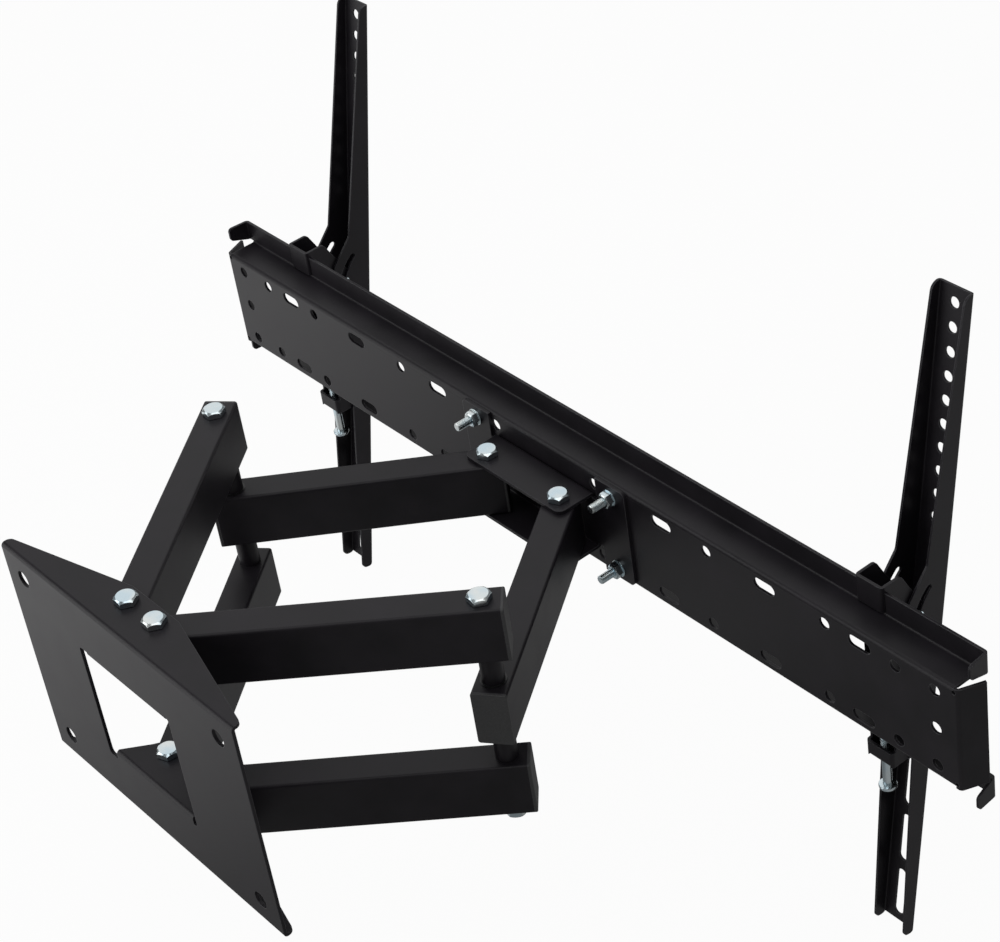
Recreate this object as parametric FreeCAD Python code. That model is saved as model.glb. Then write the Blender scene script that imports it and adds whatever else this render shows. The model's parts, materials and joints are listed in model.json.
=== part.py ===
import FreeCAD, Part
import math
import os

# Full-motion TV wall mount: wall plate, two folding double arms, head bracket, hat rail, and two tilting
# TV brackets hung on the rail. Millimetres. The origin is the middle of the wall plate's wall face, +Y points
# from the wall into the room and +Z up. Every piece is drawn where it stands with the arms half unfolded.

V = FreeCAD.Vector
X_AXIS, Y_AXIS, Z_AXIS = V(1, 0, 0), V(0, 1, 0), V(0, 0, 1)
SIDES = {"left": -1, "right": 1}

# Arm tubes
tube_height = 52.0
tube_width = 30.0
tube_wall = 2.0
tube_corner = 2.5
wall_arm = 252.5            # wall pivot to elbow
tv_arm = 225.0              # elbow to TV pivot
tail_at_wall = 12.5         # tube and cap past the wall pivot
tail_at_elbow = 19.0
tail_at_tv = 13.5

# Plastic end caps, bushes and spacers
cap_plate = 2.5
cap_edge = 1.2
cap_plug = 1.6
cap_gap = 0.15              # between the plug and the tube's inside
bush_wall = 1.2
bush_collar = 0.6
bush_collar_radius = 11.0
bush_depth = 9.0
bush_seat_gap = 0.02
side_play = 0.05            # between a bush collar and what it runs against
running_gap = 0.06          # radial, bush on bolt
open_pivot_gap = 1.9        # radial, at the one pivot where the ring of arms is left open
spacer_length = 28.6
spacer_radius = 9.4

# Where the pivots stand
wall_pivot_spread = 40.0
wall_pivot_depth = 29.3     # from the wall face
tv_pivot_spread = 95.0
tv_pivot_reach = 401.0      # from the wall face, arms half unfolded
head_shift = 6.6            # the head stands this far right of the wall plate's middle

# Fasteners
pivot_radius = 6.0
pivot_flats = 18.0
pivot_head = 6.5
pivot_nut = 9.8
head_nut = 7.0              # thin nuts under the head bracket
pivot_end = 2.5             # thread past the nut
rail_bolt_radius = 4.0
rail_bolt_flats = 13.0
rail_bolt_head = 5.3
rail_nut = 6.8
rail_washer = 1.6
rail_washer_radius = 8.0
rail_bolt_end = 14.0
tilt_bolt_radius = 3.0
tilt_bolt_flats = 10.0
tilt_bolt_head = 4.0
tilt_nut = 5.0
tilt_bolt_end = 2.0
lock_radius = 4.0
lock_head_radius = 7.8
lock_head = 5.0
lock_recess = 2.4
lock_head_below = 29.7      # head below the hanger's foot
bolt_gap = 0.25             # radial, hole round a clamped bolt
thread_gap = 0.02           # radial, nut on bolt
travel_gap = 0.1            # radial, lock screw in its thread
hex_chamfer = 38.0          # degrees
hex_land = 0.88             # share of the flats left plain on top
point_chamfer = 0.18        # of a shank's radius

# Wall plate, folded from one sheet
sheet = 3.0                 # wall plate and head bracket
bend_inside = 0.8
plate_width = 330.0
plate_end_flange = 9.0      # depth of the flange at the plate's ends
plate_end_round = 6.0
plate_mid_flange = 43.5
plate_mid_width = 65.0
plate_mid_round = 9.0
wall_hole_radius = 7.8
wall_hole_spread_x = 280.0
wall_hole_spread_z = 172.0
window_width = 128.8
window_shift = -3.1         # of the window's middle
window_round = 4.0
tongue_root = 112.0
tongue_waist = 80.0
tongue_waist_depth = 26.0
tongue_tip = 62.0
tongue_depth = 42.5
tongue_round = 9.0
relief_above = 0.8          # window past the upper tongue's bend
relief_below = 4.8          # window past the lower tongue's bend

# Head bracket
head_depth = 22.8           # TV pivot to the base plate
head_flange_front = 13.5    # flange past the TV pivot
head_flange_width = 128.0
head_flange_round = 7.0
base_width = 214.0
base_height = 99.0
base_round = 5.0
ear_gap = 141.0             # between the ears
ear_slit = 5.0              # slit past the bend
ear_slit_round = 1.0

# Hat rail
rail_sheet = 2.5
rail_bend = 1.5
rail_length = 950.0
rail_face = 102.5
rail_depth = 28.6           # face to the wall side of the lips
rail_height = 144.0         # over both lips
rail_row_spread = 76.4
rail_bolt_at = 89.0         # from the rail's middle
rail_rounds = (65.0, 202.3, 336.4, 411.2)
rail_round_radius = 5.5
rail_slots = (148.3, 269.7, 373.7)
rail_slot_length = 24.0
rail_end_hole_inset = 23.4  # from the rail's end
rail_relief_radius = 2.0
end_flange_depth = 24.0
end_flange_flare = 22.5     # degrees
end_flange_gap = 0.2        # below the ledge
end_root = 1.0              # overlap of flange and tabs with the rail
tab_reach = 20.0
tab_height = 13.0           # at the tip
tab_round = 4.0
upper_tab_out = 4.0         # past the rail's end
lower_tab_out = 7.5
tab_flare = 5.0             # degrees

# Tilt brackets
left_hanger_at = -387.5     # from the rail's middle
right_hanger_at = 361.0
left_tilt = 11.0            # degrees from upright, top leaning into the room
right_tilt = 9.4
tilt_most = 15.0
tilt_least = -17.0
bracket_sheet = 2.0
bracket_bend = 1.0
bracket_width = 34.6
bracket_top = 296.0
bracket_foot = 305.5        # lower end of the face
cheek_foot = 308.0
cheek_top_depth = 10.0
cheek_top_round = 8.0
cheek_depth = 25.5
cheek_foot_depth = 12.8
cheek_foot_round = 5.5
cheek_round = 6.0
flare_depth = 43.0
flare_top = 69.0
flare_high = 41.0
flare_low = -21.0
flare_foot = -46.0
tv_hole_radius = 4.75
tv_hole_first = 282.4
tv_hole_pitch = 20.7
tv_hole_count = 10
tv_slot_first = -160.0
tv_slot_pitch = 57.7
tv_slot_count = 3
tv_slot_length = 47.5
tilt_axis_reach = 106.5     # rail face to the tilt axis, which lies in the air on the TV's side
tilt_axis_height = 9.8
tilt_axis_ahead = 17.6      # bracket's TV face to the tilt axis
tilt_axis_up = 12.9
tilt_radius = 52.5
tilt_bolt_angles = (65.5, 110.5)    # round the tilt axis, from upright towards the wall
tilt_slot_gap = 0.3         # each side of a bolt in its slot
tilt_bolt_play = 0.1        # under a tilt bolt's head and nut

# Hangers
hanger_sheet = 2.5
hanger_bend = 0.8
hanger_gap = 0.3            # to the rail
hanger_side_gap = 0.8       # to the bracket's cheeks
hanger_hook = 5.25          # over the rail's lip
hanger_hook_depth = 21.0
hanger_shoulder = 25.0      # behind the lip
hanger_shoulder_z = 60.0
hanger_belly = 37.0         # behind the lip
hanger_belly_high = 40.0
hanger_belly_low = -17.0
hanger_round = 6.0
hanger_waist_z = -60.0
hanger_foot = 38.55         # below the rail's lip
hanger_foot_web = 15.0
hanger_foot_depth = 23.0
hanger_foot_step = 0.5
foot_plate_depth = 17.0
lock_behind_web = 7.7

# Heights, from the middle up
sheet_gap = bush_collar + side_play
half_tube = tube_height / 2
head_flange_in = half_tube + sheet_gap
head_flange_out = head_flange_in + sheet
upper_tube_bottom = half_tube + sheet_gap + spacer_length
upper_tube_mid = upper_tube_bottom + half_tube
upper_tube_top = upper_tube_bottom + tube_height
tongue_top = upper_tube_bottom - sheet_gap
tongue_bottom = tongue_top - sheet
plate_flange_in = upper_tube_top + sheet_gap
plate_half_height = plate_flange_in + sheet
pivot_grip = tube_height + 2 * (sheet_gap + sheet)
ledge = rail_face / 2
lip_top = rail_height / 2
hanger_bottom = -lip_top - hanger_foot

# Depths, from the wall out
bend_outside = bend_inside + sheet
base_front = tv_pivot_reach + head_depth
face_front = base_front + sheet
face_back = face_front + rail_sheet
lip_front = face_front + rail_depth
lip_back = lip_front + rail_sheet
rail_bend_outside = rail_bend + rail_sheet
web_front = lip_front - hanger_gap - hanger_sheet
web_back = web_front + hanger_sheet
tilt_axis_y = face_front + tilt_axis_reach

# Widths
rail_trim = rail_length / 2 - rail_bend_outside   # where the hat section ends and the end bends start
hanger_half = bracket_width / 2 - bracket_sheet - hanger_side_gap
bolt_bore = pivot_radius + bolt_gap


def in_xy(z):
    return lambda u, v: V(u, v, z)


def in_xz(y):
    return lambda u, v: V(u, y, v)


def in_yz(x):
    return lambda u, v: V(x, u, v)


def rounded_wire(corners, place):
    # Closed wire through (u, v, radius) corners, each rounded by its own radius
    marks = []
    for i, (u, v, radius) in enumerate(corners):
        here = V(u, v, 0)
        back = (V(*corners[i - 1][:2], 0) - here).normalize()
        ahead = (V(*corners[(i + 1) % len(corners)][:2], 0) - here).normalize()
        half = back.getAngle(ahead) / 2
        if radius == 0:
            marks.append((here, None, here))
            continue
        run = radius / math.tan(half)
        top = here + (back + ahead).normalize() * (radius / math.sin(half) - radius)
        marks.append((here + back * run, top, here + ahead * run))
    edges = []
    for i, (start, top, end) in enumerate(marks):
        before = marks[i - 1][2]
        if before.distanceToPoint(start) > 1e-6:
            edges.append(Part.LineSegment(place(before.x, before.y), place(start.x, start.y)).toShape())
        if top is not None:
            edges.append(Part.Arc(*[place(p.x, p.y) for p in (start, top, end)]).toShape())
    return Part.Wire(edges)


def prism(corners, place, along):
    return Part.Face(rounded_wire(corners, place)).extrude(along)


def rectangle(left, right, low, high, radius=0.0):
    return [(left, low, radius), (right, low, radius), (right, high, radius), (left, high, radius)]


def both_halves(corners):
    # The right half of an outline, then the same half mirrored to the left
    return corners + [(-u, v, radius) for u, v, radius in reversed(corners)]


def rod(centre, axis, radius, length):
    # Cylinder whose middle is at the centre
    return Part.makeCylinder(radius, length, centre - axis * (length / 2), axis)


def upside_down(shape):
    return shape.mirror(V(0, 0, 0), Z_AXIS)


def at(shape, x, y, z):
    moved = shape.copy()
    moved.translate(V(x, y, z))
    return moved


def facing(shape, axis, point):
    # Turns a fastener's +Z to the axis and puts its seat at the point
    moved = shape.copy()
    moved.Placement = FreeCAD.Placement(point, FreeCAD.Rotation(Z_AXIS, axis))
    return moved


def placed(shapes, placement):
    out = []
    for shape in shapes:
        moved = shape.copy()
        moved.Placement = placement.multiply(moved.Placement)
        out.append(moved)
    return out


def group(solids):
    return Part.makeCompound(solids)


# Fasteners


def hexagon(flats, height):
    # Hexagon prism on z = 0 with the corners of its top turned off
    corner = flats / math.sqrt(3)
    turns = [math.radians(60 * i) for i in range(6)]
    points = [(corner * math.cos(turn), corner * math.sin(turn), 0) for turn in turns]
    land = flats / 2 * hex_land
    spread = height / math.tan(math.radians(hex_chamfer))
    return prism(points, in_xy(0), V(0, 0, height)).common(Part.makeCone(land + spread, land, height))


def shank(radius, length):
    # Round shank below z = 0 with a chamfered point
    chamfer = radius * point_chamfer
    body = Part.makeCylinder(radius, length - chamfer, V(0, 0, chamfer - length))
    return body.fuse(Part.makeCone(radius - chamfer, radius, chamfer, V(0, 0, -length)))


def hex_bolt(radius, flats, head, length):
    return hexagon(flats, head).fuse(shank(radius, length)).removeSplitter()


def hex_nut(radius, flats, height):
    # Seat on z = 0, body below it
    bore = rod(V(0, 0, 0), Z_AXIS, radius + thread_gap, 4 * height)
    return upside_down(hexagon(flats, height).cut(bore))


def washer(radius, bore, height):
    # Seat on z = 0, body below it
    ring = Part.makeCylinder(radius, height, V(0, 0, -height))
    return ring.cut(rod(V(0, 0, 0), Z_AXIS, bore, 4 * height))


def pan_screw(radius, head_radius, head, length):
    # Domed head above z = 0 with a cross recess, shank below it
    dome = [(0, 0, 0), (head_radius, 0, 0), (head_radius, head * 0.5, head * 0.45), (head_radius * 0.5, head, 0),
            (0, head, 0)]
    solid = Part.Face(rounded_wire(dome, in_xz(0))).revolve(V(0, 0, 0), Z_AXIS, 360)
    arm = head_radius * 0.55
    width = head_radius * 0.13
    for turn in (rectangle(-arm, arm, -width, width), rectangle(-width, width, -arm, arm)):
        solid = solid.cut(prism(turn, in_xy(head - lock_recess), V(0, 0, 2 * lock_recess)))
    return solid.fuse(shank(radius, length)).removeSplitter()


# Pivots of the arms, seen from above


def wall_pivot(side):
    return V(side * wall_pivot_spread / 2, wall_pivot_depth, 0)


def tv_pivot(side):
    return V(head_shift + side * tv_pivot_spread / 2, tv_pivot_reach, 0)


def elbow(side):
    # The outer crossing of the two circles that the arms' lengths draw
    start = wall_pivot(side)
    line = tv_pivot(side) - start
    span = line.Length
    along = (wall_arm ** 2 - tv_arm ** 2 + span ** 2) / (2 * span)
    out = math.sqrt(wall_arm ** 2 - along ** 2)
    return start + line * (along / span) + V(line.y, -line.x, 0) * (side * out / span)


def arm_placement(start, end):
    return FreeCAD.Placement(start, FreeCAD.Rotation(X_AXIS, end - start))


# Wall plate


def folded_panel():
    # Panel and flanges from one bent section, trimmed to the flanges' outline seen from above
    top = plate_half_height
    section = [(0, -top, bend_outside), (0, top, bend_outside), (plate_mid_flange, top, 0),
               (plate_mid_flange, plate_flange_in, 0), (sheet, plate_flange_in, bend_inside),
               (sheet, -plate_flange_in, bend_inside), (plate_mid_flange, -plate_flange_in, 0),
               (plate_mid_flange, -top, 0)]
    half = plate_width / 2
    plan = both_halves([(half, 0, 0), (half, plate_end_flange, plate_end_round),
                        (plate_mid_width / 2, plate_mid_flange, plate_mid_round)])
    bent = prism(section, in_yz(-half), V(plate_width, 0, 0))
    return bent.common(prism(plan, in_xy(-top), V(0, 0, 2 * top)))


def upper_tongue(root):
    # Lanced from the window and bent into the room under the upper tubes
    section = [(0, root, 0), (0, tongue_bottom, bend_outside), (tongue_depth, tongue_bottom, 0),
               (tongue_depth, tongue_top, 0), (sheet, tongue_top, bend_inside), (sheet, root, 0)]
    plan = both_halves([(tongue_root / 2, 0, 0), (tongue_root / 2, sheet, 0),
                        (tongue_waist / 2, tongue_waist_depth, tongue_round),
                        (tongue_tip / 2, tongue_depth, tongue_round)])
    bent = prism(section, in_yz(-tongue_root / 2), V(tongue_root, 0, 0))
    return bent.common(prism(plan, in_xy(0), V(0, 0, root)))


def wall_plate():
    bend_end = tongue_top + bend_inside
    left = window_shift - window_width / 2
    opening = rectangle(left, left + window_width, -bend_end - relief_below, bend_end + relief_above, window_round)
    plate = folded_panel().cut(prism(opening, in_xz(-sheet), V(0, 3 * sheet, 0)))
    upper = upper_tongue(bend_end + relief_above + sheet)
    lower = upside_down(upper_tongue(bend_end + relief_below + sheet))
    plate = plate.fuse([upper, lower]).removeSplitter()
    holes = []
    for side in SIDES.values():
        holes.append(rod(wall_pivot(side), Z_AXIS, bolt_bore, 4 * plate_half_height))
        for row in (-1, 1):
            centre = V(side * wall_hole_spread_x / 2, 0, row * wall_hole_spread_z / 2)
            holes.append(rod(centre, Y_AXIS, wall_hole_radius, 4 * sheet))
    return plate.cut(holes)


def wall_pivot_fasteners():
    # Each wall pivot has one bolt for its upper tube and one for its lower tube
    bolt = hex_bolt(pivot_radius, pivot_flats, pivot_head, pivot_grip + pivot_nut + pivot_end)
    nut = hex_nut(pivot_radius, pivot_flats, pivot_nut)
    bolts = []
    nuts = []
    for side in SIDES.values():
        pivot = wall_pivot(side)
        bolts += [at(bolt, pivot.x, pivot.y, z) for z in (plate_half_height, -tongue_bottom)]
        nuts += [at(nut, pivot.x, pivot.y, z) for z in (tongue_bottom, -plate_half_height)]
    return {"wall_pivot_bolts": group(bolts), "wall_pivot_nuts": group(nuts)}


# Arms, drawn along +X from the pivot nearer the wall


def tube_outline(inset):
    half_width = tube_width / 2 - inset
    half_height = tube_height / 2 - inset
    return rectangle(-half_width, half_width, -half_height, half_height, max(tube_corner - inset, cap_gap))


def arm_tube(length, start_tail, end_tail, start_bore, end_bore):
    first = cap_plate - start_tail
    run = V(length + end_tail - cap_plate - first, 0, 0)
    inside = prism(tube_outline(tube_wall), in_yz(first), run)
    bores = [rod(V(0, 0, 0), Z_AXIS, start_bore, 2 * tube_height),
             rod(V(length, 0, 0), Z_AXIS, end_bore, 2 * tube_height)]
    return prism(tube_outline(0), in_yz(first), run).cut([inside] + bores)


def end_cap(x, outward):
    # Moulded plug: a soft-edged plate over the tube's end and a shank inside it
    seat = x - outward * cap_plate
    plate = prism(tube_outline(0), in_yz(seat), V(outward * cap_plate, 0, 0))
    outer_face = max(plate.Faces, key=lambda face: outward * face.CenterOfMass.x)
    plate = plate.makeFillet(cap_edge, outer_face.Edges)
    return plate.fuse(prism(tube_outline(tube_wall + cap_gap), in_yz(seat), V(-outward * cap_plug, 0, 0)))


def bush(bore):
    # Collar above z = 0, sleeve below it
    sleeve = bore + bush_wall
    profile = [(bore, -bush_depth, 0), (sleeve, -bush_depth, 0), (sleeve, 0, 0), (bush_collar_radius, 0, 0),
               (bush_collar_radius, bush_collar, 0), (bore, bush_collar, 0)]
    return Part.Face(rounded_wire(profile, in_xz(0))).revolve(V(0, 0, 0), Z_AXIS, 360)


def bush_pair(x, z, bore):
    # One bush in the tube's top wall and one in its bottom wall
    upper = at(bush(bore), x, 0, half_tube)
    return [at(upper, 0, 0, z), at(upside_down(upper), 0, 0, z)]


def bush_seat(bore):
    return bore + bush_wall + bush_seat_gap


def wall_arm_parts(name, side):
    bore = pivot_radius + running_gap
    tube = arm_tube(wall_arm, tail_at_wall, tail_at_elbow, bush_seat(bore), bolt_bore)
    place = arm_placement(wall_pivot(side), elbow(side))
    parts = {}
    caps = []
    bushes = []
    spacers = []
    sleeve = rod(V(wall_arm, 0, 0), Z_AXIS, spacer_radius, spacer_length)
    sleeve = sleeve.cut(rod(V(wall_arm, 0, 0), Z_AXIS, bolt_bore, 2 * spacer_length))
    for level, up in {"upper": 1, "lower": -1}.items():
        z = up * upper_tube_mid
        parts[f"{name}_{level}_tube"] = placed([at(tube, 0, 0, z)], place)[0]
        caps.append(at(end_cap(-tail_at_wall, -1), 0, 0, z))
        caps.append(at(end_cap(wall_arm + tail_at_elbow, 1), 0, 0, z))
        bushes += bush_pair(0, z, bore)
        spacers.append(at(sleeve, 0, 0, up * (upper_tube_bottom - spacer_length / 2)))
    parts[f"{name}_wall_arm_caps"] = group(placed(caps, place))
    parts[f"{name}_wall_arm_bushes"] = group(placed(bushes, place))
    parts[f"{name}_elbow_spacers"] = group(placed(spacers, place))
    bolt = hex_bolt(pivot_radius, pivot_flats, pivot_head, 2 * upper_tube_top + pivot_nut + pivot_end)
    nut = hex_nut(pivot_radius, pivot_flats, pivot_nut)
    parts[f"{name}_elbow_bolt"] = placed([at(bolt, wall_arm, 0, upper_tube_top)], place)[0]
    parts[f"{name}_elbow_nut"] = placed([at(nut, wall_arm, 0, -upper_tube_top)], place)[0]
    return parts


def tv_arm_parts(name, side, tv_gap):
    elbow_bore = pivot_radius + running_gap
    tv_bore = pivot_radius + tv_gap
    tube = arm_tube(tv_arm, tail_at_elbow, tail_at_tv, bush_seat(elbow_bore), bush_seat(tv_bore))
    caps = [end_cap(-tail_at_elbow, -1), end_cap(tv_arm + tail_at_tv, 1)]
    bushes = bush_pair(0, 0, elbow_bore) + bush_pair(tv_arm, 0, tv_bore)
    place = arm_placement(elbow(side), tv_pivot(side))
    return {f"{name}_tv_tube": placed([tube], place)[0],
            f"{name}_tv_arm_caps": group(placed(caps, place)),
            f"{name}_tv_arm_bushes": group(placed(bushes, place))}


# Head bracket and rail, drawn about x = 0 and then shifted with the head


def head_bracket():
    # A base plate with four ears, and two flanges bent out from between them
    front = tv_pivot_reach - head_flange_front
    section = [(front, head_flange_out, 0), (face_front, head_flange_out, bend_outside),
               (face_front, -head_flange_out, bend_outside), (front, -head_flange_out, 0),
               (front, -head_flange_in, 0), (base_front, -head_flange_in, bend_inside),
               (base_front, head_flange_in, bend_inside), (front, head_flange_in, 0)]
    half = head_flange_width / 2
    plan = both_halves([(half, face_front, 0), (half, front, head_flange_round)])
    bent = prism(section, in_yz(-half), V(head_flange_width, 0, 0))
    bent = bent.common(prism(plan, in_xy(-head_flange_out), V(0, 0, 2 * head_flange_out)))
    outline = rectangle(-base_width / 2, base_width / 2, -base_height / 2, base_height / 2, base_round)
    base = prism(outline, in_xz(base_front), V(0, sheet, 0))
    gap = rectangle(-ear_gap / 2, ear_gap / 2, head_flange_out - ear_slit, base_height, ear_slit_round)
    notch = prism(gap, in_xz(base_front - sheet), V(0, 3 * sheet, 0))
    bracket = base.cut([notch, upside_down(notch)]).fuse(bent).removeSplitter()
    holes = []
    for side in SIDES.values():
        pivot = V(side * tv_pivot_spread / 2, tv_pivot_reach, 0)
        holes.append(rod(pivot, Z_AXIS, bolt_bore, 4 * head_flange_out))
    holes += [rod(V(x, base_front, z), Y_AXIS, rail_bolt_radius + bolt_gap, 4 * sheet)
              for x, z in rail_bolt_places()]
    return bracket.cut(holes)


def rail_bolt_places():
    return [(x, z) for x in (-rail_bolt_at, rail_bolt_at) for z in (-rail_row_spread / 2, rail_row_spread / 2)]


def head_fasteners():
    bolt = hex_bolt(pivot_radius, pivot_flats, pivot_head, pivot_grip + head_nut + pivot_end)
    nut = hex_nut(pivot_radius, pivot_flats, head_nut)
    reach = rail_sheet + sheet + rail_washer + rail_nut + rail_bolt_end
    rail_bolt = hex_bolt(rail_bolt_radius, rail_bolt_flats, rail_bolt_head, reach)
    ring = washer(rail_washer_radius, rail_bolt_radius + bolt_gap, rail_washer)
    rail_bolt_nut = hex_nut(rail_bolt_radius, rail_bolt_flats, rail_nut)
    places = rail_bolt_places()
    pivots = [side * tv_pivot_spread / 2 for side in SIDES.values()]
    nut_seat = base_front - rail_washer
    return {
        "head_pivot_bolts": group([at(bolt, x, tv_pivot_reach, head_flange_out) for x in pivots]),
        "head_pivot_nuts": group([at(nut, x, tv_pivot_reach, -head_flange_out) for x in pivots]),
        "rail_bolts": group([facing(rail_bolt, Y_AXIS, V(x, face_back, z)) for x, z in places]),
        "rail_washers": group([facing(ring, Y_AXIS, V(x, base_front, z)) for x, z in places]),
        "rail_nuts": group([facing(rail_bolt_nut, Y_AXIS, V(x, nut_seat, z)) for x, z in places]),
    }


def hat_section():
    inner = ledge - rail_sheet
    upper = [(lip_back, inner, rail_bend_outside), (lip_back, lip_top, 0), (lip_front, lip_top, 0),
             (lip_front, ledge, rail_bend), (face_front, ledge, rail_bend_outside)]
    lower = [(y, -z, radius) for y, z, radius in reversed(upper)]
    inside = [(face_back, -inner, rail_bend), (face_back, inner, rail_bend)]
    return upper + lower + inside


def end_flange():
    # The face's right end, bent towards the TV and flared a little outwards
    flare = math.radians(end_flange_flare)
    along = V(math.sin(flare), math.cos(flare), 0)
    out = V(math.cos(flare), -math.sin(flare), 0)
    root = rail_trim - end_root
    corner = V(rail_length / 2, face_front, 0)
    tip = corner + along * end_flange_depth
    inner_tip = tip - out * rail_sheet
    step = rail_sheet * (1 - math.sin(flare)) / math.cos(flare)
    inner_corner = corner - out * rail_sheet + along * step
    plan = [(root, face_front, 0), (corner.x, corner.y, rail_bend_outside), (tip.x, tip.y, 0),
            (inner_tip.x, inner_tip.y, 0), (inner_corner.x, inner_corner.y, rail_bend), (root, face_back, 0)]
    tall = ledge - end_flange_gap
    return prism(plan, in_xy(-tall), V(0, 0, 2 * tall))


def end_tab(tab_out):
    # The upper lip's right end, turned back towards the wall and tapered to a tip, which stops the hanger
    flare = math.radians(tab_flare)
    along = V(math.sin(flare), -math.cos(flare), 0)
    out = V(math.cos(flare), math.sin(flare), 0)
    root = rail_trim - end_root
    length = tab_reach + rail_sheet
    corner = V(rail_length / 2 + tab_out, lip_back, 0)
    tip = corner + along * length
    inner_tip = tip - out * rail_sheet
    step = rail_sheet * (1 - math.sin(flare)) / math.cos(flare)
    inner_corner = corner - out * rail_sheet + along * step
    plan = [(root, lip_back, 0), (corner.x, corner.y, rail_bend_outside), (tip.x, tip.y, 0),
            (inner_tip.x, inner_tip.y, 0), (inner_corner.x, inner_corner.y, rail_bend), (root, lip_front, 0)]
    low = ledge + rail_bend
    finger = prism(plan, in_xy(low), V(0, 0, lip_top - low))
    side_view = [(-rail_length, low, 0), (rail_bend_outside, low, 0), (length, lip_top - tab_height, tab_round),
                 (length, lip_top, tab_round), (-rail_length, lip_top, 0)]
    behind = corner - out * rail_length
    trim = prism(side_view, lambda u, v: behind + along * u + V(0, 0, v), out * (2 * rail_length))
    return finger.common(trim)


def rail_holes():
    cuts = []
    rows = (-rail_row_spread / 2, rail_row_spread / 2)
    end_holes = rail_length / 2 - rail_end_hole_inset
    for side in SIDES.values():
        for z in rows:
            cuts.append(rod(V(side * rail_bolt_at, face_front, z), Y_AXIS, rail_bolt_radius + bolt_gap,
                            4 * rail_sheet))
            for x in rail_rounds + (end_holes,):
                cuts.append(rod(V(side * x, face_front, z), Y_AXIS, rail_round_radius, 4 * rail_sheet))
            for x in rail_slots:
                slot = rectangle(side * x - rail_slot_length / 2, side * x + rail_slot_length / 2,
                                 z - rail_round_radius, z + rail_round_radius, rail_round_radius)
                cuts.append(prism(slot, in_xz(face_front - rail_sheet), V(0, 3 * rail_sheet, 0)))
        cuts.append(rod(V(side * end_holes, face_front, 0), Y_AXIS, rail_round_radius, 4 * rail_sheet))
    return cuts


def rail():
    relief = rod(V(rail_trim, face_front, ledge - rail_bend_outside), Y_AXIS, rail_relief_radius, 4 * rail_sheet)
    adds = [end_flange(), end_tab(upper_tab_out), upside_down(end_tab(lower_tab_out))]
    reliefs = [relief, upside_down(relief)]
    middle = V(0, 0, 0)
    bar = prism(hat_section(), in_yz(-rail_trim), V(2 * rail_trim, 0, 0))
    bar = bar.fuse(adds + [a.mirror(middle, X_AXIS) for a in adds]).removeSplitter()
    return bar.cut(rail_holes() + reliefs + [r.mirror(middle, X_AXIS) for r in reliefs])


# Tilt bracket, drawn upright with its TV face on y = 0 and its long axis on z


def round_tilt_axis(degrees, radius):
    turn = math.radians(degrees)
    return V(0, -radius * math.sin(turn), radius * math.cos(turn))


def tilt_slot(angle):
    # The arc that a tilt bolt runs through from one end of the tilt to the other
    half = tilt_bolt_radius + tilt_slot_gap
    first = angle + tilt_least
    last = angle + tilt_most
    middle = (first + last) / 2
    end_turn = math.degrees(half / tilt_radius)
    axis = V(-bracket_width, tilt_axis_ahead, tilt_axis_up)

    def point(degrees, offset):
        return axis + round_tilt_axis(degrees, tilt_radius + offset)

    arcs = [(point(first, half), point(middle, half), point(last, half)),
            (point(last, half), point(last + end_turn, 0), point(last, -half)),
            (point(last, -half), point(middle, -half), point(first, -half)),
            (point(first, -half), point(first - end_turn, 0), point(first, half))]
    wire = Part.Wire([Part.Arc(*arc).toShape() for arc in arcs])
    return Part.Face(wire).extrude(V(2 * bracket_width, 0, 0))


def tilt_bracket():
    # Tapered channel, open to the wall, with cheeks that flare out round the tilt slots
    half = bracket_width / 2
    outside = bracket_bend + bracket_sheet
    inner = half - bracket_sheet
    section = [(-half, 0, outside), (half, 0, outside), (half, -flare_depth, 0), (inner, -flare_depth, 0),
               (inner, -bracket_sheet, bracket_bend), (-inner, -bracket_sheet, bracket_bend),
               (-inner, -flare_depth, 0), (-half, -flare_depth, 0)]
    channel = prism(section, in_xy(-cheek_foot), V(0, 0, bracket_top + cheek_foot))
    side_view = [(0, bracket_top, 0), (-cheek_top_depth, bracket_top, cheek_top_round),
                 (-cheek_depth, flare_top, cheek_round), (-flare_depth, flare_high, cheek_round),
                 (-flare_depth, flare_low, cheek_round), (-cheek_depth, flare_foot, cheek_round),
                 (-cheek_foot_depth, -cheek_foot, cheek_foot_round), (0, -cheek_foot, cheek_foot_round)]
    channel = channel.common(prism(side_view, in_yz(-half), V(bracket_width, 0, 0)))
    foot = rectangle(-inner, inner, -cheek_foot, -bracket_foot)
    cuts = [prism(foot, in_xz(-flare_depth), V(0, flare_depth, 0))]
    for i in range(tv_hole_count):
        centre = V(0, 0, tv_hole_first - i * tv_hole_pitch)
        cuts.append(rod(centre, Y_AXIS, tv_hole_radius, 4 * bracket_sheet))
    for i in range(tv_slot_count):
        middle = tv_slot_first - i * tv_slot_pitch
        slot = rectangle(-tv_hole_radius, tv_hole_radius, middle - tv_slot_length / 2, middle + tv_slot_length / 2,
                         tv_hole_radius)
        cuts.append(prism(slot, in_xz(-2 * bracket_sheet), V(0, 4 * bracket_sheet, 0)))
    cuts += [tilt_slot(angle) for angle in tilt_bolt_angles]
    return channel.cut(cuts)


def bracket_placement(tilt):
    # Turns the bracket about the tilt axis
    turn = FreeCAD.Rotation(X_AXIS, -tilt)
    axis = V(0, tilt_axis_y, tilt_axis_height)
    return FreeCAD.Placement(axis - turn.multVec(V(0, tilt_axis_ahead, tilt_axis_up)), turn)


def tilt_bolt_places():
    # Where the tilt bolts stand on the hanger
    axis = V(0, tilt_axis_y, tilt_axis_height)
    return [axis + round_tilt_axis(angle, tilt_radius) for angle in tilt_bolt_angles]


# Hanger, drawn about x = 0


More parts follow.
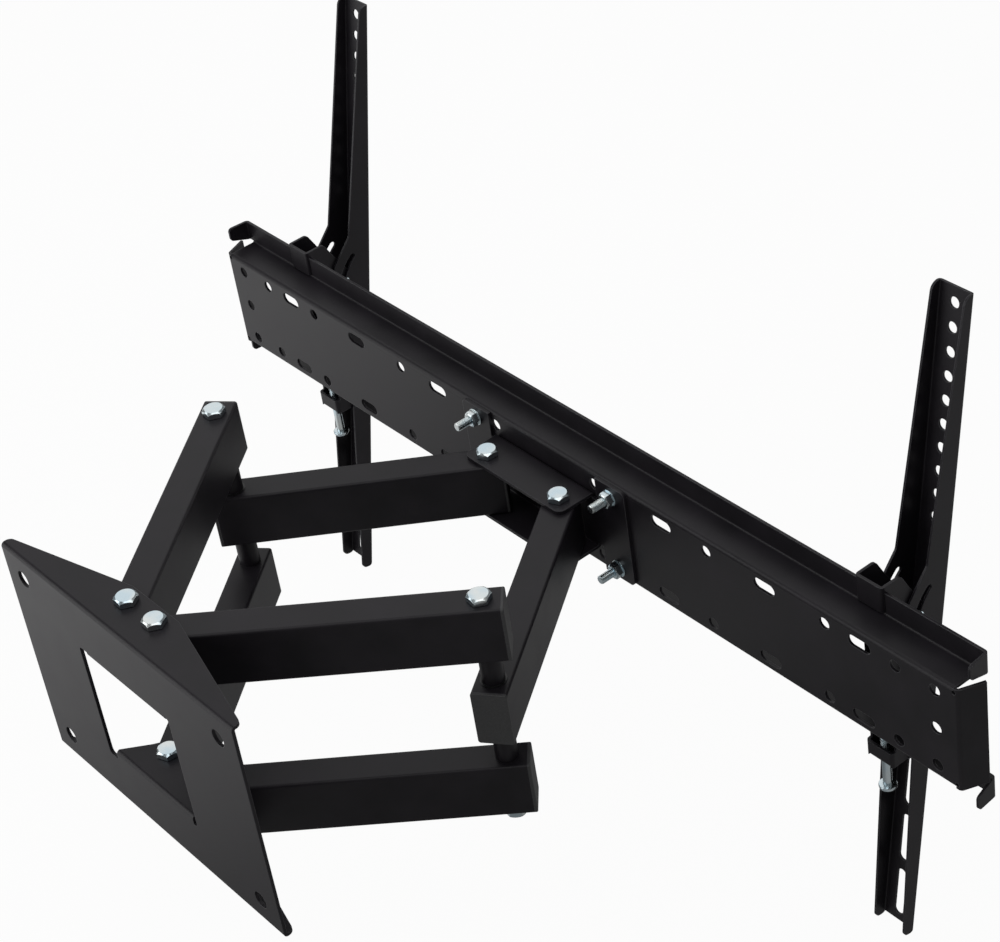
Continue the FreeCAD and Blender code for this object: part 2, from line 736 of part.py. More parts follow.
def hanger_outline():
    # One cheek seen from the side: hook over the upper lip, belly for the tilt bolts, foot under the lower lip
    slot_top = lip_top + hanger_gap
    hook_top = slot_top + hanger_hook
    web_bottom = ledge + rail_bend + hanger_gap
    behind_lip = lip_back + hanger_gap
    belly = lip_back + hanger_belly
    foot_back = web_front + hanger_foot_depth
    foot_top = hanger_bottom + hanger_foot_web
    return [(web_front, hook_top, 0), (web_front + hanger_hook_depth, hook_top, hanger_round),
            (lip_back + hanger_shoulder, hanger_shoulder_z, hanger_round),
            (belly, hanger_belly_high, hanger_round), (belly, hanger_belly_low, hanger_round),
            (foot_back, hanger_waist_z, hanger_round), (foot_back, hanger_bottom, hanger_gap),
            (web_front, hanger_bottom, 0), (web_front, foot_top, 0), (behind_lip, foot_top + hanger_foot_step, 0),
            (behind_lip, slot_top, 0), (web_back, slot_top, 0), (web_back, web_bottom, 0),
            (web_front, web_bottom, 0)]


def hanger():
    # Folded strap: webs on the wall side, a cheek down each side, and a foot plate threaded for the lock screw
    outside = hanger_bend + hanger_sheet
    inner = hanger_half - hanger_sheet
    belly = lip_back + hanger_belly
    hook_top = lip_top + hanger_gap + hanger_hook
    section = [(-hanger_half, web_front, outside), (hanger_half, web_front, outside), (hanger_half, belly, 0),
               (inner, belly, 0), (inner, web_back, hanger_bend), (-inner, web_back, hanger_bend),
               (-inner, belly, 0), (-hanger_half, belly, 0)]
    strap = prism(section, in_xy(hanger_bottom), V(0, 0, hook_top - hanger_bottom))
    strap = strap.common(prism(hanger_outline(), in_yz(-hanger_half), V(2 * hanger_half, 0, 0)))
    tab = inner - hanger_bend
    plate_back = web_front + foot_plate_depth
    plate_top = hanger_bottom + hanger_sheet
    foot_top = hanger_bottom + hanger_foot_web
    slit = rectangle(-inner, inner, hanger_bottom, hanger_bottom + outside)
    foot = [(web_front, foot_top, 0), (web_front, hanger_bottom, outside), (plate_back, hanger_bottom, 0),
            (plate_back, plate_top, 0), (web_back, plate_top, hanger_bend), (web_back, foot_top, 0)]
    strap = strap.cut(prism(slit, in_xz(web_front), V(0, hanger_sheet, 0)))
    strap = strap.fuse(prism(foot, in_yz(-tab), V(2 * tab, 0, 0))).removeSplitter()
    cuts = [rod(V(0, web_front + lock_behind_web, hanger_bottom), Z_AXIS, lock_radius + travel_gap,
                4 * hanger_sheet)]
    cuts += [rod(place, X_AXIS, tilt_bolt_radius + bolt_gap, 2 * bracket_width) for place in tilt_bolt_places()]
    return strap.cut(cuts)


def hanging_parts(name, side, along_rail, tilt):
    seat = bracket_width / 2 + tilt_bolt_play
    bolt = hex_bolt(tilt_bolt_radius, tilt_bolt_flats, tilt_bolt_head, 2 * seat + tilt_nut + tilt_bolt_end)
    nut = hex_nut(tilt_bolt_radius, tilt_bolt_flats, tilt_nut)
    outward = X_AXIS * side
    places = tilt_bolt_places()
    head_seat = hanger_bottom - lock_head_below
    lock_length = -lip_top - hanger_gap - head_seat
    lock = pan_screw(lock_radius, lock_head_radius, lock_head, lock_length)
    parts = {
        f"{name}_hanger": hanger(),
        f"{name}_tilt_bracket": placed([tilt_bracket()], bracket_placement(tilt))[0],
        f"{name}_tilt_bolts": group([facing(bolt, outward, place + outward * seat) for place in places]),
        f"{name}_tilt_nuts": group([facing(nut, outward, place - outward * seat) for place in places]),
        f"{name}_lock_screw": facing(lock, V(0, 0, -1), V(0, web_front + lock_behind_web, head_seat)),
    }
    return {node: at(shape, along_rail, 0, 0) for node, shape in parts.items()}


def build():
    parts = {"wall_plate": wall_plate()}
    parts.update(wall_pivot_fasteners())
    tv_gaps = {"left": running_gap, "right": open_pivot_gap}
    hangers_at = {"left": left_hanger_at, "right": right_hanger_at}
    tilts = {"left": left_tilt, "right": right_tilt}
    head = {"head_bracket": head_bracket(), "rail": rail()}
    head.update(head_fasteners())
    for name, side in SIDES.items():
        parts.update(wall_arm_parts(name, side))
        parts.update(tv_arm_parts(name, side, tv_gaps[name]))
        head.update(hanging_parts(name, side, hangers_at[name], tilts[name]))
    parts.update({node: at(shape, head_shift, 0, 0) for node, shape in head.items()})
    return parts


os.makedirs("parts", exist_ok=True)
for node, shape in build().items():
    shape.exportStep(f"parts/{node}.step")
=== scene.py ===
import json
import math

import bpy
from mathutils import Matrix, Vector

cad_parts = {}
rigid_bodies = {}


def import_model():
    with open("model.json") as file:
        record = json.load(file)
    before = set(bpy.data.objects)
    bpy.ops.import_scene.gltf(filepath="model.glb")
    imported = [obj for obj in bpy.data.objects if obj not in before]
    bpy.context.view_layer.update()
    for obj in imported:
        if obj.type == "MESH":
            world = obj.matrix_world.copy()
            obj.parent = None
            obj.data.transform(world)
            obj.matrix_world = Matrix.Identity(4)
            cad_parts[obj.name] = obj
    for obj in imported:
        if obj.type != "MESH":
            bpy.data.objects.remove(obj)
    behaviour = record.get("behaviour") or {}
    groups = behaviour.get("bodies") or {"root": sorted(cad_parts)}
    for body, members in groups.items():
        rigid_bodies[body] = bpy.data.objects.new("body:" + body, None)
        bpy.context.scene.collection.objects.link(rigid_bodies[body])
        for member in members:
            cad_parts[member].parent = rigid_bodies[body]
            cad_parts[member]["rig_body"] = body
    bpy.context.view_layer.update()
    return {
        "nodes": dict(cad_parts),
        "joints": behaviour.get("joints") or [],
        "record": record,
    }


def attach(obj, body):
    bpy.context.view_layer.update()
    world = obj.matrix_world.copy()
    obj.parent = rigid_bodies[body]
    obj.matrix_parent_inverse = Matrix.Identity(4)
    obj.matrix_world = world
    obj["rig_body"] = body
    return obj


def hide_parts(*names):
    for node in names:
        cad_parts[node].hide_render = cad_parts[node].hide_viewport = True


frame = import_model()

cadNodes = frame["nodes"]
scene = bpy.context.scene
mm = 0.001  # every length below is written in millimetres
print("mount loaded:", len(cadNodes), "CAD nodes")


def linear(hexColour):
    channels = [int(hexColour[i:i + 2], 16) / 255 for i in (1, 3, 5)]
    return [c / 12.92 if c <= 0.04045 else ((c + 0.055) / 1.055) ** 2.4 for c in channels] + [1.0]


def perMetre(size):
    return 1 / (size * mm)  # texture scale for a pattern whose cells are this wide


def addNode(tree, kind, settings=None, values=None, links=None, stops=()):
    node = tree.nodes.new(kind)
    for name, value in (settings or {}).items():
        setattr(node, name, value)
    for socket, value in (values or {}).items():
        node.inputs[socket].default_value = value
    for socket, source in (links or {}).items():
        tree.links.new(source, node.inputs[socket])
    for i, (position, hexColour) in enumerate(stops):  # a colour ramp has two stops to start with
        elements = node.color_ramp.elements
        element = elements[i] if i < len(elements) else elements.new(position)
        element.position = position
        element.color = linear(hexColour)
    return node


def newMaterial(name):
    material = bpy.data.materials.new(name)
    material.use_nodes = True
    material.node_tree.nodes.clear()
    return material, material.node_tree


# Finishes

bevelSamples = 6

powderCoat = {
    "deep": "#1a181c",
    "thin": "#221f24",
    "mottleSize": 38.0,
    "mottleDetail": 3.0,
    "mottleSpread": (0.35, 0.7),  # from deep to thin
    # paler edge colour: partly thin coat and wear, partly a painted highlight along the edges
    "edge": "#56565a",
    "edgeRadius": 0.9,
    "edgeWearAndHighlightTurn": (0.99, 0.8),  # cosines of the turn at which the edge colour starts and is full
    "peelSize": 1.5,  # real orange peel is about 0.6 mm, drawn coarser so that it shows
    "peelDetail": 2.0,
    "peelHeight": 0.03,
    "peelStrength": 0.5,
    "roughLow": 0.36,
    "roughHigh": 0.46,
    "specular": 0.27,
}


def powderCoatedSteel():
    # Baked black powder on bent sheet: satin, faintly pebbled, paler along the edges, partly from the thinner
    # coat there and partly as a painted highlight
    p = powderCoat
    material, tree = newMaterial("satin_black_powder_coated_steel")
    place = addNode(tree, "ShaderNodeTexCoord")
    mottle = addNode(tree, "ShaderNodeTexNoise",
                     values={"Scale": perMetre(p["mottleSize"]), "Detail": p["mottleDetail"]},
                     links={"Vector": place.outputs["Object"]})
    body = addNode(tree, "ShaderNodeValToRGB", links={"Fac": mottle.outputs["Fac"]},
                   stops=zip(p["mottleSpread"], (p["deep"], p["thin"])))
    rounded = addNode(tree, "ShaderNodeBevel", {"samples": bevelSamples}, {"Radius": p["edgeRadius"] * mm})
    flat = addNode(tree, "ShaderNodeNewGeometry")
    along = addNode(tree, "ShaderNodeVectorMath", {"operation": "DOT_PRODUCT"},
                    links={0: rounded.outputs["Normal"], 1: flat.outputs["Normal"]})
    # mask along the edges for the paler colour, which partly stands in for the edges' highlight as painted
    # light
    edge = addNode(tree, "ShaderNodeMapRange",
                   values={"From Min": p["edgeWearAndHighlightTurn"][0], "From Max": p["edgeWearAndHighlightTurn"][1]},
                   links={"Value": along.outputs["Value"]})
    colour = addNode(tree, "ShaderNodeMix", {"data_type": "RGBA"}, {"B": linear(p["edge"])},
                     {"Factor": edge.outputs["Result"], "A": body.outputs["Color"]})
    rough = addNode(tree, "ShaderNodeMapRange", values={"To Min": p["roughLow"], "To Max": p["roughHigh"]},
                    links={"Value": mottle.outputs["Fac"]})
    peel = addNode(tree, "ShaderNodeTexNoise",
                   values={"Scale": perMetre(p["peelSize"]), "Detail": p["peelDetail"]},
                   links={"Vector": place.outputs["Object"]})
    pebble = addNode(tree, "ShaderNodeBump",
                     values={"Strength": p["peelStrength"], "Distance": p["peelHeight"] * mm},
                     links={"Height": peel.outputs["Fac"], "Normal": rounded.outputs["Normal"]})
    coat = addNode(tree, "ShaderNodeBsdfPrincipled", values={"Specular IOR Level": p["specular"]},
                   links={"Base Color": colour.outputs["Result"], "Roughness": rough.outputs["Result"],
                          "Normal": pebble.outputs["Normal"]})
    addNode(tree, "ShaderNodeOutputMaterial", links={"Surface": coat.outputs["BSDF"]})
    return material


zincPlate = {
    "blue": "#cfe0e8",
    "straw": "#e6ebea",
    "tintSize": 16.0,
    "tintDetail": 2.0,
    "tintSpread": (0.38, 0.68),  # from blue to straw
    "grainSize": 0.8,  # the barrel-plated grain is nearer 0.1 mm, drawn coarser so that it shows
    "grainDetail": 1.0,
    "grainHeight": 0.008,
    "grainStrength": 0.3,
    "roughLow": 0.16,
    "roughHigh": 0.28,
    "edgeRadius": 0.35,
}


def zincPlatedSteel():
    # Barrel-plated, blue-passivated fasteners: a bright, softly blurred mirror, bluish with straw patches
    p = zincPlate
    material, tree = newMaterial("blue_passivated_zinc_plated_steel")
    place = addNode(tree, "ShaderNodeTexCoord")
    tint = addNode(tree, "ShaderNodeTexNoise",
                   values={"Scale": perMetre(p["tintSize"]), "Detail": p["tintDetail"]},
                   links={"Vector": place.outputs["Object"]})
    colour = addNode(tree, "ShaderNodeValToRGB", links={"Fac": tint.outputs["Fac"]},
                     stops=zip(p["tintSpread"], (p["blue"], p["straw"])))
    rough = addNode(tree, "ShaderNodeMapRange", values={"To Min": p["roughLow"], "To Max": p["roughHigh"]},
                    links={"Value": tint.outputs["Fac"]})
    grain = addNode(tree, "ShaderNodeTexNoise",
                    values={"Scale": perMetre(p["grainSize"]), "Detail": p["grainDetail"]},
                    links={"Vector": place.outputs["Object"]})
    rounded = addNode(tree, "ShaderNodeBevel", {"samples": bevelSamples}, {"Radius": p["edgeRadius"] * mm})
    speckle = addNode(tree, "ShaderNodeBump",
                      values={"Strength": p["grainStrength"], "Distance": p["grainHeight"] * mm},
                      links={"Height": grain.outputs["Fac"], "Normal": rounded.outputs["Normal"]})
    plate = addNode(tree, "ShaderNodeBsdfPrincipled", values={"Metallic": 1.0},
                    links={"Base Color": colour.outputs["Color"], "Roughness": rough.outputs["Result"],
                           "Normal": speckle.outputs["Normal"]})
    addNode(tree, "ShaderNodeOutputMaterial", links={"Surface": plate.outputs["BSDF"]})
    return material


capPlastic = {
    "low": "#343435",
    "high": "#404041",
    "grainSize": 1.2,  # a spark-eroded mould leaves 0.2 mm pits, drawn coarser so that they show
    "grainHeight": 0.05,
    "roughLow": 0.48,
    "roughHigh": 0.62,
    "ior": 1.49,
}
bushPlastic = {
    "low": "#0f0f10",
    "high": "#1b1b1c",
    "grainSize": 2.5,
    "grainHeight": 0.02,
    "roughLow": 0.35,
    "roughHigh": 0.45,
    "ior": 1.48,
}
mouldGrain = {"detail": 2.0, "spread": (0.3, 0.7), "strength": 0.4}


def mouldedPlastic(name, p):
    # The mould's pits break up the highlight, and the colour is a little paler on the high spots
    material, tree = newMaterial(name)
    place = addNode(tree, "ShaderNodeTexCoord")
    grain = addNode(tree, "ShaderNodeTexNoise",
                    values={"Scale": perMetre(p["grainSize"]), "Detail": mouldGrain["detail"]},
                    links={"Vector": place.outputs["Object"]})
    colour = addNode(tree, "ShaderNodeValToRGB", links={"Fac": grain.outputs["Fac"]},
                     stops=zip(mouldGrain["spread"], (p["low"], p["high"])))
    rough = addNode(tree, "ShaderNodeMapRange", values={"To Min": p["roughLow"], "To Max": p["roughHigh"]},
                    links={"Value": grain.outputs["Fac"]})
    pits = addNode(tree, "ShaderNodeBump",
                   values={"Strength": mouldGrain["strength"], "Distance": p["grainHeight"] * mm},
                   links={"Height": grain.outputs["Fac"]})
    plastic = addNode(tree, "ShaderNodeBsdfPrincipled", values={"IOR": p["ior"]},
                      links={"Base Color": colour.outputs["Color"], "Roughness": rough.outputs["Result"],
                             "Normal": pits.outputs["Normal"]})
    addNode(tree, "ShaderNodeOutputMaterial", links={"Surface": plastic.outputs["BSDF"]})
    return material


finishes = {
    "powder_coated_steel": powderCoatedSteel(),
    "zinc_plated_steel": zincPlatedSteel(),
    "cap_plastic": mouldedPlastic("grained_moulded_polypropylene", capPlastic),  # dull, a little grey
    "bush_plastic": mouldedPlastic("smooth_moulded_acetal", bushPlastic),  # waxy black
}
for subpart in frame["record"]["subparts"]:
    materials = cadNodes[subpart["node"]].data.materials
    materials.clear()
    materials.append(finishes[subpart["material_slot"]])
print("finishes set:", ", ".join(m.name for m in finishes.values()))


# Bolts and screws with their threads, drawn with the seat on z = 0 and the shank below it

boltSides = 48
rowsPerTurn = 10
sharpAngle = 28
pivotBolt = {"radius": 6.0, "pitch": 1.75, "flats": 18.0, "head": 6.5, "washerFace": 0.5, "thread": 22.0}
railBolt = {"radius": 4.0, "pitch": 1.25, "flats": 13.0, "head": 5.3, "washerFace": 0.4, "thread": 24.0}
tiltBolt = {"radius": 3.0, "pitch": 1.0, "flats": 10.0, "head": 4.0, "washerFace": 0.3, "thread": 16.0}
lockScrew = {"radius": 4.0, "pitch": 1.25, "headRadius": 7.8, "head": 5.0, "edge": 0.9, "recess": 2.4,
             "thread": 40.0}  # the shank is plain from the head up to the hanger's foot
hexChamfer = math.tan(math.radians(38))
hexLand = 0.88  # share of the flats that the chamfer leaves
panHead = {"flat": 0.45, "rim": 0.28, "steps": 8}  # flat top as a share of the radius, rim of the height
crossRecess = {"arm": 0.55, "width": 0.13, "taper": 0.4}  # half sizes as shares of the head's radius
thread = {"depth": 0.6134, "crest": 0.125, "flanks": 0.625}  # metric form, as shares of the pitch
pointChamfer = 0.18  # share of the shank's radius
turns = [2 * math.pi * i / boltSides for i in range(boltSides)]


def ring(radius, height):
    radii = radius if callable(radius) else lambda turn: radius
    heights = height if callable(height) else lambda turn: height
    return [Vector((radii(t) * math.cos(t), radii(t) * math.sin(t), heights(t))) for t in turns]


def hexHeadRings(bolt):
    half, head, washer = bolt["flats"] / 2, bolt["head"], bolt["washerFace"]
    land = half * hexLand

    def hexRadius(turn):
        return half / math.cos(turn % (math.pi / 3) - math.pi / 6)

    def chamfered(turn):
        return head - (hexRadius(turn) - land) * hexChamfer

    return [ring(land, head), ring(hexRadius, chamfered), ring(hexRadius, washer), ring(land, washer),
            ring(land, 0)]


def panHeadRings(screw):
    wide, head, edge = screw["headRadius"], screw["head"], screw["edge"]
    flat, rim = panHead["flat"], panHead["rim"]
    rings = [ring(wide * flat, head)]
    for step in range(1, panHead["steps"] + 1):  # the dome, down to a short upright rim
        turn = math.radians(90 * step / panHead["steps"])
        rings.append(ring(wide * (flat + (1 - flat) * math.sin(turn)),
                          head * (rim + (1 - rim) * math.cos(turn))))
    for degrees in range(0, 91, 30):  # the rounded edge under the rim
        turn = math.radians(degrees)
        rings.append(ring(wide - edge * (1 - math.cos(turn)), edge * (1 - math.sin(turn))))
    return rings


def threadedShankRings(bolt, length):
    radius, pitch = bolt["radius"], bolt["pitch"]
    depth = thread["depth"] * pitch
    chamfer = radius * pointChamfer
    start = bolt["thread"] - length
    rows = int(bolt["thread"] / pitch * rowsPerTurn)
    rings = [ring(radius, 0), ring(radius, start)]
    for row in range(1, rows):
        z = start - bolt["thread"] * row / rows
        fade = min(1, (start - z) / pitch)
        crest = min(radius, radius - chamfer + (z + length))

        def groove(turn):
            share = (z / pitch + turn / (2 * math.pi)) % 1
            cut = min(1, max(0, (abs(2 * share - 1) - thread["crest"]) / thread["flanks"]))
            return min(crest, radius - fade * depth * cut)

        rings.append(ring(groove, z))
    return rings + [ring(radius - depth, -length)]


def ringMesh(name, rings):
    points = [tuple(p * mm) for loop in rings for p in loop]
    n = boltSides
    faces = [tuple(range(n)), tuple(reversed(range(len(points) - n, len(points))))]
    for row in range(len(rings) - 1):
        for i in range(n):
            j = (i + 1) % n
            faces.append((row * n + i, (row + 1) * n + i, (row + 1) * n + j, row * n + j))
    mesh = bpy.data.meshes.new(name)
    mesh.from_pydata(points, [], faces)
    mesh.validate()
    return mesh


def cutCross(mesh, screw):
    # The cross recess in the screw's head, cut by two blades that widen upwards
    arm, width = screw["headRadius"] * crossRecess["arm"], screw["headRadius"] * crossRecess["width"]
    low, high = screw["head"] - screw["recess"], screw["head"] + screw["recess"]
    levels = ((low, 1 - crossRecess["taper"]), (high, 1 + crossRecess["taper"]))
    sides = [(3, 2, 1, 0), (4, 5, 6, 7), (0, 1, 5, 4), (1, 2, 6, 5), (2, 3, 7, 6), (3, 0, 4, 7)]
    uncut = bpy.data.objects.new("uncutScrew", mesh)
    scene.collection.objects.link(uncut)
    cutters = []
    for sizeX, sizeY in ((arm, width), (width, arm)):
        corners = [(x * sizeX * s * mm, y * sizeY * s * mm, z * mm) for z, s in levels
                   for x, y in ((-1, -1), (1, -1), (1, 1), (-1, 1))]
        blade = bpy.data.meshes.new("recessBlade")
        blade.from_pydata(corners, [], sides)
        cutter = bpy.data.objects.new("recessBlade", blade)
        scene.collection.objects.link(cutter)
        cutters.append(cutter)
        cut = uncut.modifiers.new("recess", "BOOLEAN")
        cut.object = cutter
        cut.operation = "DIFFERENCE"
        cut.solver = "EXACT"
    done = bpy.data.meshes.new_from_object(uncut.evaluated_get(bpy.context.evaluated_depsgraph_get()))
    for spare in [uncut] + cutters:
        bpy.data.objects.remove(spare)
    return done


def fastenerPiece(name, node, mesh, seats):
    # One piece from copies of a mesh, each with its seat at a point, its head along an axis and its own turn
    points, faces = [], []
    for seat, axis, turn in seats:
        facing = Vector(axis).to_track_quat("Z", "Y").to_matrix().to_4x4()
        place = Matrix.Translation(Vector(seat) * mm) @ facing @ Matrix.Rotation(math.radians(turn), 4, "Z")
        first = len(points)
        points += [place @ v.co for v in mesh.vertices]
        faces += [[first + i for i in p.vertices] for p in mesh.polygons]
    made = bpy.data.meshes.new(name)
    made.from_pydata(points, [], faces)
    made.shade_smooth()
    made.set_sharp_from_angle(angle=math.radians(sharpAngle))
    made.materials.append(finishes["zinc_plated_steel"])
    piece = bpy.data.objects.new(name, made)
    scene.collection.objects.link(piece)
    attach(piece, cadNodes[node]["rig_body"])
    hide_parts(node)


def boltMesh(bolt, length):
    return ringMesh("bolt", hexHeadRings(bolt) + threadedShankRings(bolt, length))


pivots = {joint["name"]: Vector(joint["pos_m"]) / mm for joint in frame["joints"] if joint["type"] == "hinge"}
up, down, intoRoom = (0, 0, 1), (0, 0, -1), (0, 1, 0)

wallBolts = {"length": 71.6, "onFlange": (110.9, 0), "onTongue": (-51.6, 20)}  # seat height and head's turn
wallPivots = [pivots["left_wall_pivot"], pivots["right_wall_pivot"]]
fastenerPiece("wall_pivot_bolts_threaded", "wall_pivot_bolts", boltMesh(pivotBolt, wallBolts["length"]),
              [((p.x, p.y, z), up, turn) for p in wallPivots
               for z, turn in (wallBolts["onFlange"], wallBolts["onTongue"])])

elbowBolts = {"length": 226.8, "seat": 107.25, "turn": {"left": 0, "right": -2}}
elbowMesh = boltMesh(pivotBolt, elbowBolts["length"])
for side, turn in elbowBolts["turn"].items():
    elbow = pivots[f"{side}_elbow"]
    fastenerPiece(f"{side}_elbow_bolt_threaded", f"{side}_elbow_bolt", elbowMesh,
                  [((elbow.x, elbow.y, elbowBolts["seat"]), up, turn)])

headBolts = {"length": 68.8, "seat": 29.65, "apart": 95.0, "turn": 25}
headPivot = pivots["head_pivot"]  # the left one of the two
headMiddle = headPivot.x + headBolts["apart"] / 2
fastenerPiece("head_pivot_bolts_threaded", "head_pivot_bolts", boltMesh(pivotBolt, headBolts["length"]),
              [((headPivot.x + shift, headPivot.y, headBolts["seat"]), up, headBolts["turn"])
               for shift in (0, headBolts["apart"])])

railBolts = {"length": 27.9, "seat": 429.3, "across": 89.0, "up": 38.2}
fastenerPiece("rail_bolts_threaded", "rail_bolts", boltMesh(railBolt, railBolts["length"]),
              [((headMiddle + s * railBolts["across"], railBolts["seat"], t * railBolts["up"]), intoRoom, 0)
               for s in (-1, 1) for t in (-1, 1)])

tiltBolts = {"length": 41.8, "seat": 17.4, "radius": 52.5, "angles": (65.5, 110.5)}  # round the tilt axis
lockScrews = {"length": 67.95, "seat": -140.25, "y": 460.3}
tiltMesh = boltMesh(tiltBolt, tiltBolts["length"])
lockRings = panHeadRings(lockScrew) + threadedShankRings(lockScrew, lockScrews["length"])
lockMesh = cutCross(ringMesh("lockScrew", lockRings), lockScrew)
for side, outward in (("left", -1), ("right", 1)):
    axis = pivots[f"{side}_tilt"]
    seats = []
    for angle in tiltBolts["angles"]:
        y = axis.y - tiltBolts["radius"] * math.sin(math.radians(angle))
        z = axis.z + tiltBolts["radius"] * math.cos(math.radians(angle))
        seats.append(((axis.x + outward * tiltBolts["seat"], y, z), (outward, 0, 0), 0))
    fastenerPiece(f"{side}_tilt_bolts_threaded", f"{side}_tilt_bolts", tiltMesh, seats)
    fastenerPiece(f"{side}_lock_screw_threaded", f"{side}_lock_screw", lockMesh,
                  [((axis.x, lockScrews["y"], lockScrews["seat"]), down, 0)])
print("bolts and lock screws threaded")


# Stage

studio = {
    "floorHeight": -330.0,
    "floorSize": 30000.0,
    "floorColour": "#f2f2f0",
    "fibreSize": 6.0,
    "fibreDetail": 3.0,
    "roughLow": 0.85,
    "roughHigh": 0.95,
    # the floor's painted reflection, seen only by glossy rays: its direction, run, tones and the paler part
    # behind the rail; the darker tones stand for painted shade beneath the mount
    "paintedReflectionAlong": (1.0, 0.5, 0.0),
    "paintedReflectionRun": (-850.0, 650.0),  # where the stops start and end, along that direction
    "paintedReflectionStops": [(0.0, "#ffffff"), (0.47, "#848484"), (0.64, "#a6a6a6"), (0.71, "#656565"),
                  (1.0, "#959595")],
    "paintedReflectionBehind": (300.0, 750.0, 0.4),  # from, to and level of the paler floor behind the rail
    "shadowShare": 0.05,  # how much of the floor's own shading the camera sees
    "worldLevel": 0.2,
}


def whiteFloor():
    # Matt white paper: the camera sees it white with a soft shadow. Glossy rays see a painted reflection
    # instead: a glow from white on the left to greys on the right, with a darker band as painted shade
    # beneath the mount, and paler behind the rail
    p = studio
    material, tree = newMaterial("white_paper_with_painted_reflection")
    place = addNode(tree, "ShaderNodeTexCoord")
    fibre = addNode(tree, "ShaderNodeTexNoise",
                    values={"Scale": perMetre(p["fibreSize"]), "Detail": p["fibreDetail"]},
                    links={"Vector": place.outputs["Object"]})
    rough = addNode(tree, "ShaderNodeMapRange", values={"To Min": p["roughLow"], "To Max": p["roughHigh"]},
                    links={"Value": fibre.outputs["Fac"]})
    paper = addNode(tree, "ShaderNodeBsdfPrincipled", values={"Base Color": linear(p["floorColour"])},
                    links={"Roughness": rough.outputs["Result"]})
    ray = addNode(tree, "ShaderNodeLightPath")
    across = addNode(tree, "ShaderNodeVectorMath", {"operation": "DOT_PRODUCT"}, {1: p["paintedReflectionAlong"]},
                     {0: place.outputs["Object"]})
    fade = addNode(tree, "ShaderNodeMapRange",
                   values={"From Min": p["paintedReflectionRun"][0] * mm, "From Max": p["paintedReflectionRun"][1] * mm},
                   links={"Value": across.outputs["Value"]})
    # painted reflection: the glow's tone along the floor, which metal mirrors
    paintedReflection = addNode(tree, "ShaderNodeValToRGB", links={"Fac": fade.outputs["Result"]},
                       stops=p["paintedReflectionStops"])
    back = addNode(tree, "ShaderNodeSeparateXYZ", links={"Vector": place.outputs["Object"]})
    behind = addNode(tree, "ShaderNodeMapRange",
                     values={"From Min": p["paintedReflectionBehind"][0] * mm, "From Max": p["paintedReflectionBehind"][1] * mm,
                             "To Max": p["paintedReflectionBehind"][2]},
                     links={"Value": back.outputs["Y"]})
    paler = addNode(tree, "ShaderNodeMath", {"operation": "MAXIMUM"},
                    links={0: paintedReflection.outputs["Color"], 1: behind.outputs["Result"]})
    seen = addNode(tree, "ShaderNodeMix", {"data_type": "RGBA"}, {"A": linear("#ffffff")},
                   {"Factor": ray.outputs["Is Glossy Ray"], "B": paler.outputs["Value"]})
    glow = addNode(tree, "ShaderNodeEmission", links={"Color": seen.outputs["Result"]})
    camera = addNode(tree, "ShaderNodeMath", {"operation": "MULTIPLY"}, {1: 1 - p["shadowShare"]},
                     {0: ray.outputs["Is Camera Ray"]})
    glossy = addNode(tree, "ShaderNodeMath", {"operation": "MAXIMUM"},
                     links={0: camera.outputs["Value"], 1: ray.outputs["Is Glossy Ray"]})
    share = addNode(tree, "ShaderNodeMath", {"operation": "MAXIMUM"},
                    links={0: glossy.outputs["Value"], 1: ray.outputs["Is Transmission Ray"]})
    both = addNode(tree, "ShaderNodeMixShader",
                   links={"Fac": share.outputs["Value"], 1: paper.outputs["BSDF"],
                          2: glow.outputs["Emission"]})
    addNode(tree, "ShaderNodeOutputMaterial", links={"Surface": both.outputs["Shader"]})
    return material


floorHalf = studio["floorSize"] / 2 * mm
floorCorners = [(x * floorHalf, y * floorHalf, 0) for x, y in ((-1, -1), (1, -1), (1, 1), (-1, 1))]
floorMesh = bpy.data.meshes.new("floor")
floorMesh.from_pydata(floorCorners, [], [(0, 1, 2, 3)])
floorMesh.materials.append(whiteFloor())
floor = bpy.data.objects.new("floor", floorMesh)
floor.location.z = studio["floorHeight"] * mm
scene.collection.objects.link(floor)

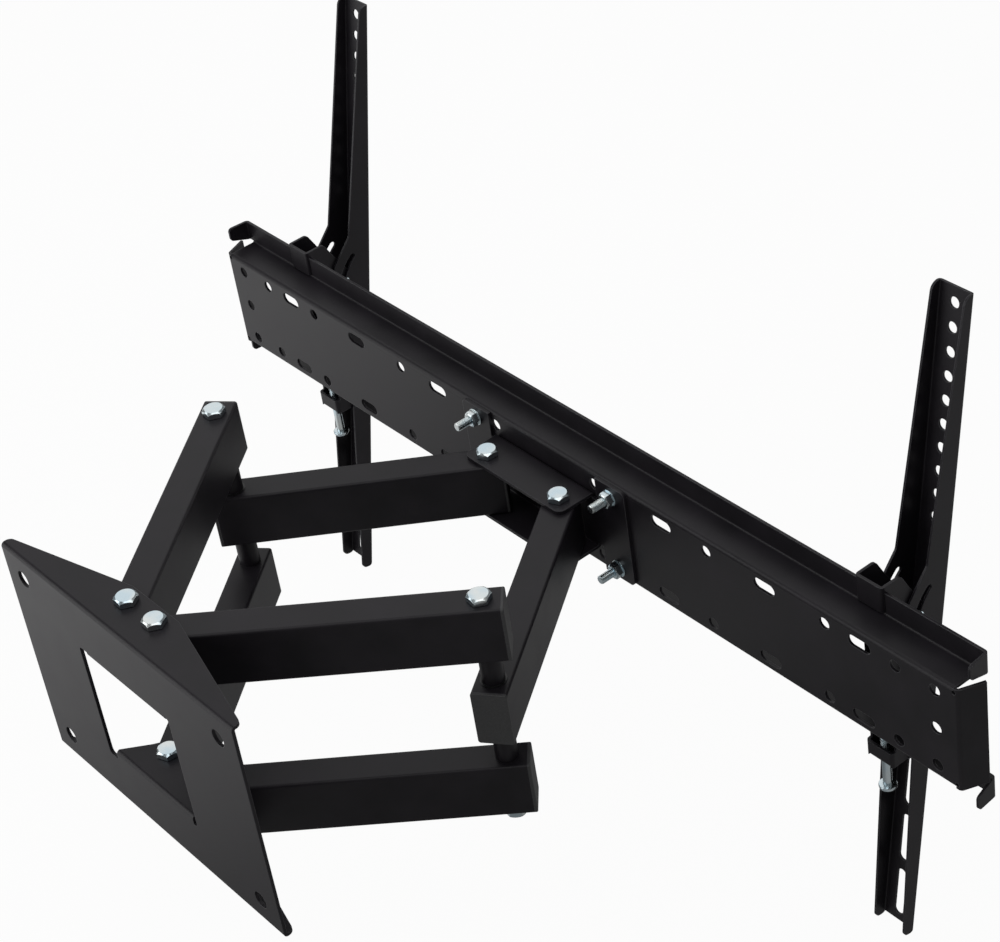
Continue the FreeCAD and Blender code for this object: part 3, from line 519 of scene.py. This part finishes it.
world = bpy.data.worlds.new("studio_air")
world.use_nodes = True
air = world.node_tree
air.nodes.clear()
airRay = addNode(air, "ShaderNodeLightPath")
airLevel = addNode(air, "ShaderNodeMapRange", values={"To Min": studio["worldLevel"], "To Max": 1.0},
                   links={"Value": airRay.outputs["Is Camera Ray"]})
airGlow = addNode(air, "ShaderNodeBackground", values={"Color": linear("#ffffff")},
                  links={"Strength": airLevel.outputs["Result"]})
addNode(air, "ShaderNodeOutputWorld", links={"Surface": airGlow.outputs["Background"]})
scene.world = world

lamps = {
    "softbox_over_left": {"at": (-1500, 1250, 1500), "aim": (0, 250, 0), "size": 2400, "power": 12.5},
    "softbox_front_left": {"at": (-1300, -1700, 900), "aim": (0, 150, 0), "size": 2000, "power": 22},
    "softbox_above": {"at": (500, 0, 1900), "aim": (150, 200, 0), "size": 1800, "power": 12.5},
    "softbox_behind": {"at": (600, 2400, -50), "aim": (0, 450, 0), "size": 1000, "power": 5},
}
for name, lamp in lamps.items():
    light = bpy.data.lights.new(name, "AREA")
    light.size = lamp["size"] * mm
    light.energy = lamp["power"]
    box = bpy.data.objects.new(name, light)
    box.location = Vector(lamp["at"]) * mm
    box.rotation_euler = (Vector(lamp["aim"]) - Vector(lamp["at"])).to_track_quat("-Z", "Y").to_euler()
    box.visible_camera = False
    scene.collection.objects.link(box)

photoCamera = {"at": (1520.08, -644.68, 1400.02), "turn": 55.9286, "lean": 53.4972, "roll": -9.437,
               "lens": 96.5417, "sensor": 36}
cameraData = bpy.data.cameras.new("photo_camera")
cameraData.sensor_width = photoCamera["sensor"]
cameraData.lens = photoCamera["lens"]
camera = bpy.data.objects.new("photo_camera", cameraData)
aim = Matrix.Identity(4)
for angle, axis in ((photoCamera["turn"], "Z"), (photoCamera["lean"], "X"), (photoCamera["roll"], "Z")):
    aim = aim @ Matrix.Rotation(math.radians(angle), 4, axis)
camera.matrix_world = Matrix.Translation(Vector(photoCamera["at"]) * mm) @ aim
scene.collection.objects.link(camera)
scene.camera = camera
scene.view_settings.view_transform = "Standard"
print("floor, lamps and camera placed")
